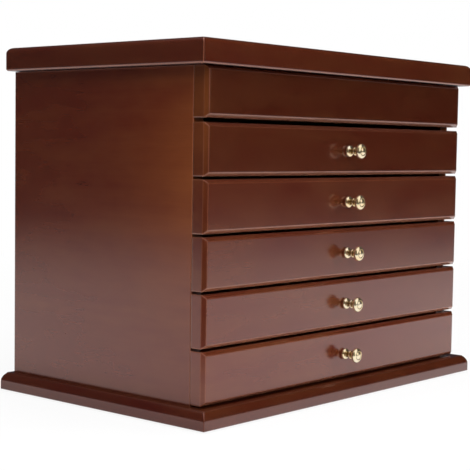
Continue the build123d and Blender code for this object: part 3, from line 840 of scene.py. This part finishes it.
line_room("tray", "tray_lining", "case", TRAY_STRIP)
for number in drawer_numbers:
    line_room(f"drawer_{number}", f"drawer_{number}_lining", f"drawer_{number}", DRAWER_STRIP)
print("lined the tray and", len(drawer_numbers), "drawers")

# %% [markdown]
# ## Covered dividers
# The tray's dividers are thin boards wrapped in the same velvet, so their top edges are round. The
# cross dividers are halved over the long one, which shows as butt joints from above.

# %% Shape a covered board
# Near both ends: distance from the end, and how much of the section's width is left there
FOLD_PLACES, FOLD_WIDTHS = np.array([0, 0.15, 0.5, 1.2]), np.array([0.72, 0.88, 0.97, 1])
PLAIN_STATIONS, PLAIN_START, TOP_STEPS = 12, 6, 13


def covered_board(low, high, along):
    """A board with a half round top: its section, a loop of width and height, is carried along one axis
    and drawn in a little at both ends, where the velvet is folded over. The height is drawn in by half
    as much as the width."""
    across = 1 - along
    half = (high[across] - low[across]) / 2
    halfway = (low[2] + high[2]) / 2
    over = np.linspace(0, np.pi, TOP_STEPS)
    wide = np.concatenate([[half, half], half * np.cos(over), [-half, -half]])
    tall = np.concatenate([[low[2], halfway], high[2] - half + half * np.sin(over), [halfway, low[2]]])
    plain = np.linspace(low[along] + PLAIN_START, high[along] - PLAIN_START, PLAIN_STATIONS)
    run = np.concatenate([low[along] + FOLD_PLACES, plain, high[along] - FOLD_PLACES[::-1]])
    drawn_in = np.concatenate([FOLD_WIDTHS, np.ones(PLAIN_STATIONS), FOLD_WIDTHS[::-1]])[:, None]
    points = np.zeros((len(run), len(wide), 3))
    points[..., along] = run[:, None]
    points[..., across] = (low[across] + high[across]) / 2 + wide[None] * drawn_in
    points[..., 2] = low[2] + (tall[None] - low[2]) * (0.5 + 0.5 * drawn_in)
    return points


print("covered board of", len(FOLD_PLACES) * 2 + PLAIN_STATIONS, "sections")

# %% Wrap the dividers
DIVIDER = 4.0
GAP = 0.1
CELL_COLUMNS = 3
low, high = place_of("tray_dividers")
tray_middle = (low[1] + high[1]) / 2
partition_right = low[0] + DIVIDER
long_low = np.array([partition_right + GAP, tray_middle - DIVIDER / 2, low[2]])
long_high = np.array([high[0], tray_middle + DIVIDER / 2, high[2]])
column = (high[0] - long_low[0]) / CELL_COLUMNS
boards = {"partition": (low, np.array([partition_right, high[1], high[2]]), 1),
          "long_divider": (long_low, long_high, 0)}
cross_runs = {"front": (low[1], long_low[1] - GAP), "back": (long_high[1] + GAP, high[1])}
for place_number in range(1, CELL_COLUMNS):
    x = long_low[0] + column * place_number
    for row, (start, stop) in cross_runs.items():
        boards[f"{row}_cross_divider_{place_number}"] = (np.array([x - DIVIDER / 2, start, low[2]]),
                                                         np.array([x + DIVIDER / 2, stop, high[2]]), 1)
for name, (start, stop, along) in boards.items():
    points = covered_board(start, stop, along)
    wrapped = make_piece(f"tray_{name}", points, sheet_faces(*points.shape[:2], closed=True),
                         lining_velvet, "case", ["tray_dividers"])
    close_ends(wrapped)
    turn_outwards(wrapped)
print("wrapped", len(boards), "dividers")

# %% [markdown]
# ## Ring rolls
# Rings are kept in the slots between six soft rolls: strips of foam wrapped in velvet and stood side by
# side. Foam under cloth swells as far as the cloth lets it, which is what a cloth simulation does, so
# each roll starts a little slim, is given even small faces, and is blown up under light pressure. How
# far a point may move is capped, so that the rolls press on each other and don't pass through.

# %% Shape a slim roll
ROLLS = 6
ROLL_GAP = 0.4
SLIMMER, END_ROOM = 0.9, 0.6
roll_low, roll_high = place_of("ring_rolls")
roll_width = (roll_high[0] - roll_low[0] - (ROLLS - 1) * ROLL_GAP) / ROLLS


def slim_roll(left):
    """A closed bar with a flat foot and a half round top, drawn in at both ends."""
    low = np.array([left + SLIMMER, roll_low[1] + END_ROOM, roll_low[2]])
    high = np.array([left + roll_width - SLIMMER, roll_high[1] - END_ROOM, roll_high[2] - SLIMMER])
    return covered_board(low, high, 1)


print(ROLLS, "rolls of", round(float(roll_width), 2), "mm")

# %% Swell a soft piece
EVEN_FACE, LARGEST_MOVE = 3 * MM, 0.8 * MM
LAST_FRAME, PRESSURE = 20, 4
NO_MOVE = 1e-9


def bake(piece):
    """Writes what the modifiers give into the mesh and removes them."""
    finished = bpy.data.meshes.new_from_object(piece.evaluated_get(bpy.context.evaluated_depsgraph_get()))
    piece.modifiers.clear()
    piece.data = finished


def points_of(piece):
    """The places of all points of a piece, one row for each."""
    points = np.empty(len(piece.data.vertices) * 3)
    piece.data.vertices.foreach_get("co", points)
    return points.reshape(-1, 3)


def swell(piece, foot):
    """Remeshes a piece into even faces, lets pressure blow it up as cloth, and moves each point by at
    most the largest move. Nothing sinks below the foot."""
    remesh = piece.modifiers.new("even_faces", "REMESH")
    remesh.mode = "VOXEL"
    remesh.voxel_size = EVEN_FACE
    bake(piece)
    start = points_of(piece)
    cloth = piece.modifiers.new("blown_up", "CLOTH")
    cloth.settings.use_pressure = True
    cloth.settings.uniform_pressure_force = PRESSURE
    cloth.settings.effector_weights.gravity = 0
    cloth.point_cache.frame_start = 1
    cloth.point_cache.frame_end = LAST_FRAME
    for number in range(1, LAST_FRAME + 1):
        scene.frame_set(number)
    bake(piece)
    move = points_of(piece) - start
    reach = np.linalg.norm(move, axis=1, keepdims=True)
    settled = start + move * np.minimum(1, LARGEST_MOVE / np.maximum(reach, NO_MOVE))
    settled[:, 2] = np.maximum(settled[:, 2], foot)
    piece.data.vertices.foreach_set("co", settled.ravel())
    piece.data.update()
    scene.frame_set(1)


print("a soft piece swells by up to", LARGEST_MOVE / MM, "mm in", LAST_FRAME, "frames")

# %% Blow up the ring rolls
for number in range(ROLLS):
    points = slim_roll(roll_low[0] + number * (roll_width + ROLL_GAP))
    roll = make_piece(f"ring_roll_{number + 1}", points, sheet_faces(*points.shape[:2], closed=True),
                      roll_velvet)
    close_ends(roll)
    turn_outwards(roll)
    swell(roll, roll_low[2] * MM)
    shade(roll, True)
    smoother = roll.modifiers.new("smooth", "SUBSURF")
    smoother.levels = smoother.render_levels = 1
    bake(roll)
    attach(roll, "case")
    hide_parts("ring_rolls")
print("last roll", [round(v, 4) for v in roll.dimensions], "m")

# %% [markdown]
# ## The mirror
# The lid's mirror is silvered glass with a ground bevel, held in the rebate of a mitred frame. Seen from
# below, a bevelled mirror is a flat field with a sloping border, and the slope is what catches light.

# %% Cut and silver the mirror
BRIGHT_SILVER, SPECKED_SILVER = (0.90, 0.92, 0.91, 1), (0.86, 0.88, 0.87, 1)
BEVEL_WIDTH, BEVEL_DROP, FIELD_STEP = 13.0, 0.7, 0.1
GLASS_CORNER = 0.4
SPECK_SCALE, SPECK_RANGE, GLASS_ROUGHNESS = 60, (0.3, 0.8), (0.015, 0.035)

silvered_glass, tree, shader = start_material("silvered_glass", Metallic=1.0, Coat_Weight=1.0,
                                              Coat_Roughness=0.01)
specks = spread(tree, noise(tree, own_place(tree), SPECK_SCALE, detail=3), *SPECK_RANGE)
tree.links.new(blend_colours(tree, specks, BRIGHT_SILVER, SPECKED_SILVER), shader.inputs["Base Color"])
tree.links.new(spread(tree, specks, 0, 1, *GLASS_ROUGHNESS), shader.inputs["Roughness"])

low, high = place_of("lid_mirror")
insets = [0, 0, BEVEL_WIDTH, BEVEL_WIDTH + FIELD_STEP]
heights = [high[2], low[2] + BEVEL_DROP, low[2], low[2]]
points = outline_rows(low, high, insets, heights, [GLASS_CORNER] * len(insets))
mirror = make_piece("bevelled_mirror", points, sheet_faces(*points.shape[:2], closed=True),
                    silvered_glass, "lid", ["lid_mirror"])
close_ends(mirror)
turn_outwards(mirror)
shade(mirror, False)
print("mirror of", len(mirror.data.polygons), "faces")

# %% [markdown]
# ## Screws in the hinges
# Each hinge leaf is let into the wood and held by two countersunk brass screws, with two more in the
# plate on the back. Only their slotted heads show: a low dome with a straight slot across it.

# %% Turn a screw head
SCREW_RADIUS, DOME_LIFT, DOME_RISE, RIM_DEPTH = 1.7, 0.02, 0.1, -0.2
SLOT_HALF_WIDTH, SLOT_LEVEL, SLOT_END = 0.32, 0.03, 0.93
HEAD_RINGS, HEAD_SIDES, INNERMOST_RING = 15, 48, 0.02


def screw_head(centre, normal, across):
    """A dome that stands lift + rise sqrt(1 - 0.9 r^2) above the face, where r runs from 0 to 1 out to
    its rim. Nearer to the slot's middle line than half the slot's width it is cut down to the slot's
    level, and its rim goes down into the leaf."""
    r = np.linspace(INNERMOST_RING, 1, HEAD_RINGS)[:, None]
    angle = np.linspace(0, 2 * np.pi, HEAD_SIDES, endpoint=False)[None]
    a, b = SCREW_RADIUS * r * np.cos(angle), SCREW_RADIUS * r * np.sin(angle)
    dome = DOME_LIFT + DOME_RISE * np.sqrt(1 - 0.9 * r ** 2) + 0 * angle
    level = np.where((abs(b) < SLOT_HALF_WIDTH) & (r < SLOT_END), SLOT_LEVEL, dome)
    level[-1] = RIM_DEPTH
    other = np.cross(normal, across)
    return centre + a[..., None] * across + b[..., None] * other + level[..., None] * normal


def drive(name, body, centre, normal, turn):
    """Puts one screw head on a face, its slot turned to its own angle."""
    normal = np.array(normal, float)
    side = np.array([0.0, 1.0, 0.0]) if abs(normal[1]) < 0.5 else np.array([0.0, 0.0, 1.0])
    across = math.cos(turn) * np.array([1.0, 0, 0]) + math.sin(turn) * side
    points = screw_head(np.array(centre, float), normal, across)
    head = make_piece(name, points, sheet_faces(*points.shape[:2], closed=True), brass, body, ())
    close_ends(head)
    turn_outwards(head)


print("screw head", 2 * SCREW_RADIUS, "mm across")

# %% Drive the screws
HINGE_LENGTH, SCREW_SPACING = 30, 9.5
LEAF_SCREW_INSET, PLATE_THICKNESS, PLATE_SCREW_DROP = 4.3, 1.2, 5.6
SLOT_TURN, LID_TURN, PLATE_TURN = 0.7, 1.1, 2

hinge_middle = place_of("hinge_case_leaves")[0][0] + HINGE_LENGTH / 2
back_face, case_top = place_of("back_panel")[1][1:]
lid_floor = place_of("lid_panel")[0][2]
leaf_y, plate_y = back_face - LEAF_SCREW_INSET, back_face + PLATE_THICKNESS
screw_places = [middle + shift for middle in (hinge_middle, -hinge_middle)
                for shift in (-SCREW_SPACING, SCREW_SPACING)]
for number, x in enumerate(screw_places, start=1):
    turn = SLOT_TURN * number
    drive(f"case_leaf_screw_{number}", "case", (x, leaf_y, case_top), (0, 0, 1), turn)
    drive(f"lid_leaf_screw_{number}", "lid", (x, leaf_y, lid_floor), (0, 0, -1), turn + LID_TURN)
    drive(f"back_plate_screw_{number}", "case", (x, plate_y, case_top - PLATE_SCREW_DROP), (0, 1, 0),
          turn + PLATE_TURN)
print("drove", 3 * len(screw_places), "screws")

# %% [markdown]
# ## Felt under the base
# A sheet of black felt keeps the chest from scratching the table. It is cut with shears, so its edge is
# slightly soft, and pressing has rounded it.

# %% Glue the felt
FELT_CORNER, PRESSED_EDGE, EDGE_HEIGHT, FIELD_INSET = 2.0, 0.5, 0.3, 40
low, high = place_of("base_felt")
insets = [PRESSED_EDGE, 0.0, 0.0, PRESSED_EDGE, FIELD_INSET]
heights = [low[2], low[2] + EDGE_HEIGHT, high[2] - EDGE_HEIGHT, high[2], high[2]]
points = outline_rows(low, high, insets, heights, [FELT_CORNER] * len(insets))
felt = make_piece("base_felt_sheet", points, sheet_faces(*points.shape[:2], closed=True),
                  base_felt_cloth, "case", ["base_felt"])
close_ends(felt)
turn_outwards(felt)
print("felt", [round(v, 4) for v in felt.dimensions], "m")
